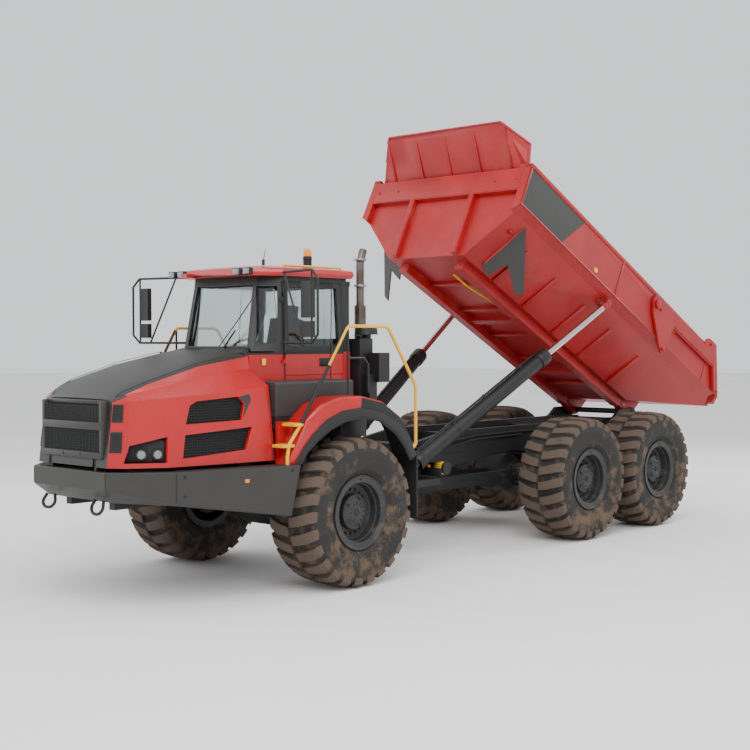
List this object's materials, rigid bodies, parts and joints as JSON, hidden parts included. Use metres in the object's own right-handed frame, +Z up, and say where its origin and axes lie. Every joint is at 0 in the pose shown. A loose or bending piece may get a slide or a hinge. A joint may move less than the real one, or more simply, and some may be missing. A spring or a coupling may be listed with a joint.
{
  "type": "articulated dump truck",
  "caption": "Articulated dump truck on large earth-moving tyres, with a tilting hood, a central steering and roll hitch, and a dump body held raised by side cylinders.",
  "frame": {"origin": "on the ground, at the middle of the machine's box with the body raised as modelled", "axes": "+Z up, -Y towards the nose, +Y along the machine to its tail, +X to the machine's left"},
  "size_m": [3.498, 12.0265, 6.0158],
  "materials": {
    "red_paint": "glossy",
    "dark_grey_paint": "satin",
    "black_paint": "satin",
    "tyre_rubber": "matte",
    "rim_grey": "satin",
    "glass": "glossy",
    "yellow_paint": "satin",
    "black_plastic": "matte",
    "chrome": "polished",
    "exhaust_steel": "heat-stained",
    "seat_fabric": "woven",
    "cast_grey": "rough painted"
  },
  "bodies": {
    "tractor": {"front_frame": "black_paint", "engine_gearbox": "cast_grey", "front_axle": "cast_grey", "bumper": "dark_grey_paint", "side_box_left": "dark_grey_paint", "side_box_right": "dark_grey_paint", "front_fender_left": "red_paint", "front_fender_right": "red_paint", "ladder_handrail_left": "yellow_paint", "handrail_right": "yellow_paint", "cab_shell": "red_paint", "cab_glazing": "glass", "cab_roof": "red_paint", "driver_seat": "seat_fabric", "dashboard": "black_plastic", "mirror_left": "black_plastic", "mirror_right": "black_plastic", "exhaust_stack": "exhaust_steel", "intake_tower": "black_paint"},
    "hood": {"hood": "red_paint", "grille": "black_plastic"},
    "cab_door": {"cab_door": "red_paint", "door_glass": "glass"},
    "hitch": {"hitch_yoke": "cast_grey"},
    "rear_chassis": {"rear_frame": "black_paint", "bogie_beams": "cast_grey", "middle_axle": "cast_grey", "rear_axle": "cast_grey"},
    "dump_body": {"body_floor": "red_paint", "body_side_left": "red_paint", "body_side_right": "red_paint", "body_front_wall": "red_paint", "stone_guard_left": "dark_grey_paint", "stone_guard_right": "dark_grey_paint"},
    "tailgate": {"tailgate": "red_paint"},
    "hoist_barrel_left": {"hoist_barrel_left": "black_paint"},
    "hoist_rod_left": {"hoist_rod_left": "chrome"},
    "steer_barrel_left": {"steer_barrel_left": "black_paint"},
    "steer_rod_left": {"steer_rod_left": "chrome"},
    "hoist_barrel_right": {"hoist_barrel_right": "black_paint"},
    "hoist_rod_right": {"hoist_rod_right": "chrome"},
    "steer_barrel_right": {"steer_barrel_right": "black_paint"},
    "steer_rod_right": {"steer_rod_right": "chrome"},
    "wheel_front_left": {"tyre_front_left": "tyre_rubber", "rim_front_left": "rim_grey"},
    "wheel_front_right": {"tyre_front_right": "tyre_rubber", "rim_front_right": "rim_grey"},
    "wheel_middle_left": {"tyre_middle_left": "tyre_rubber", "rim_middle_left": "rim_grey"},
    "wheel_middle_right": {"tyre_middle_right": "tyre_rubber", "rim_middle_right": "rim_grey"},
    "wheel_rear_left": {"tyre_rear_left": "tyre_rubber", "rim_rear_left": "rim_grey"},
    "wheel_rear_right": {"tyre_rear_right": "tyre_rubber", "rim_rear_right": "rim_grey"}
  },
  "joints": [
    {"name": "front_left_wheel_spin", "type": "hinge", "parent": "tractor", "child": "wheel_front_left", "pos_m": [1.382, -3.12, 0.895], "axis": [1, 0, 0], "continuous": true},
    {"name": "front_right_wheel_spin", "type": "hinge", "parent": "tractor", "child": "wheel_front_right", "pos_m": [-1.382, -3.12, 0.895], "axis": [1, 0, 0], "continuous": true},
    {"name": "middle_left_wheel_spin", "type": "hinge", "parent": "rear_chassis", "child": "wheel_middle_left", "pos_m": [1.382, 1.773, 0.895], "axis": [1, 0, 0], "continuous": true},
    {"name": "middle_right_wheel_spin", "type": "hinge", "parent": "rear_chassis", "child": "wheel_middle_right", "pos_m": [-1.382, 1.773, 0.895], "axis": [1, 0, 0], "continuous": true},
    {"name": "rear_left_wheel_spin", "type": "hinge", "parent": "rear_chassis", "child": "wheel_rear_left", "pos_m": [1.382, 3.724, 0.895], "axis": [1, 0, 0], "continuous": true},
    {"name": "rear_right_wheel_spin", "type": "hinge", "parent": "rear_chassis", "child": "wheel_rear_right", "pos_m": [-1.382, 3.724, 0.895], "axis": [1, 0, 0], "continuous": true},
    {"name": "hood_tilt", "type": "hinge", "parent": "tractor", "child": "hood", "pos_m": [0, -5.92, 1.64], "axis": [1, 0, 0], "range_deg": [0, 60]},
    {"name": "door_swing", "type": "hinge", "parent": "tractor", "child": "cab_door", "pos_m": [0.885, -3.554, 2.78], "axis": [0, 0, -1], "range_deg": [0, 42]},
    {"name": "articulation", "type": "hinge", "parent": "tractor", "child": "hitch", "pos_m": [0, -1.82, 1.1], "axis": [0, 0, 1], "range_deg": [-45, 45]},
    {"name": "frame_roll", "type": "hinge", "parent": "hitch", "child": "rear_chassis", "pos_m": [0, -1.26, 1.1], "axis": [0, 1, 0], "range_deg": [-15, 15]},
    {"name": "body_tip", "type": "hinge", "parent": "rear_chassis", "child": "dump_body", "pos_m": [0, 4.63, 1.72], "axis": [-1, 0, 0], "range_deg": [-27, 43]},
    {"name": "tailgate_swing", "type": "hinge", "parent": "dump_body", "child": "tailgate", "pos_m": [0, 3.92606, 3.48607], "axis": [1, 0, 0], "range_deg": [0, 35]},
    {"name": "hoist_swing_left", "type": "hinge", "parent": "rear_chassis", "child": "hoist_barrel_left", "pos_m": [0.73, -1.2, 1.17], "axis": [0.956, -0.2597, 0.1367], "range_deg": [-11, 17.4]},
    {"name": "hoist_stroke_left", "type": "slide", "parent": "hoist_barrel_left", "child": "hoist_rod_left", "axis": [0.1569, 0.8459, 0.5098], "range_m": [-0.99, 1.575]},
    {"name": "hoist_swing_right", "type": "hinge", "parent": "rear_chassis", "child": "hoist_barrel_right", "pos_m": [-0.73, -1.2, 1.17], "axis": [0.956, 0.2597, -0.1367], "range_deg": [-11, 17.4]},
    {"name": "hoist_stroke_right", "type": "slide", "parent": "hoist_barrel_right", "child": "hoist_rod_right", "axis": [-0.1569, 0.8459, 0.5098], "range_m": [-0.99, 1.575]},
    {"name": "steer_swing_left", "type": "hinge", "parent": "tractor", "child": "steer_barrel_left", "pos_m": [0.55, -2.77, 0.99], "axis": [0, 0, 1], "range_deg": [-13.3, 13.3]},
    {"name": "steer_stroke_left", "type": "slide", "parent": "steer_barrel_left", "child": "steer_rod_left", "axis": [-0.0905, 0.9959, 0], "range_m": [-0.355, 0.355]},
    {"name": "steer_swing_right", "type": "hinge", "parent": "tractor", "child": "steer_barrel_right", "pos_m": [-0.55, -2.77, 0.99], "axis": [0, 0, 1], "range_deg": [-13.3, 13.3]},
    {"name": "steer_stroke_right", "type": "slide", "parent": "steer_barrel_right", "child": "steer_rod_right", "axis": [0.0905, 0.9959, 0], "range_m": [-0.355, 0.355]}
  ],
  "couplings": [
    {"joint": "hoist_swing_left", "follows": "body_tip", "ratio": 0.40142},
    {"joint": "hoist_stroke_left", "follows": "body_tip", "m_per_rad": 2.0966},
    {"joint": "steer_swing_left", "follows": "articulation", "ratio": 0.29195},
    {"joint": "steer_stroke_left", "follows": "articulation", "m_per_rad": 0.45054},
    {"joint": "hoist_swing_right", "follows": "body_tip", "ratio": 0.40142},
    {"joint": "hoist_stroke_right", "follows": "body_tip", "m_per_rad": 2.0966},
    {"joint": "steer_swing_right", "follows": "articulation", "ratio": 0.29195},
    {"joint": "steer_stroke_right", "follows": "articulation", "m_per_rad": -0.45054}
  ]
}
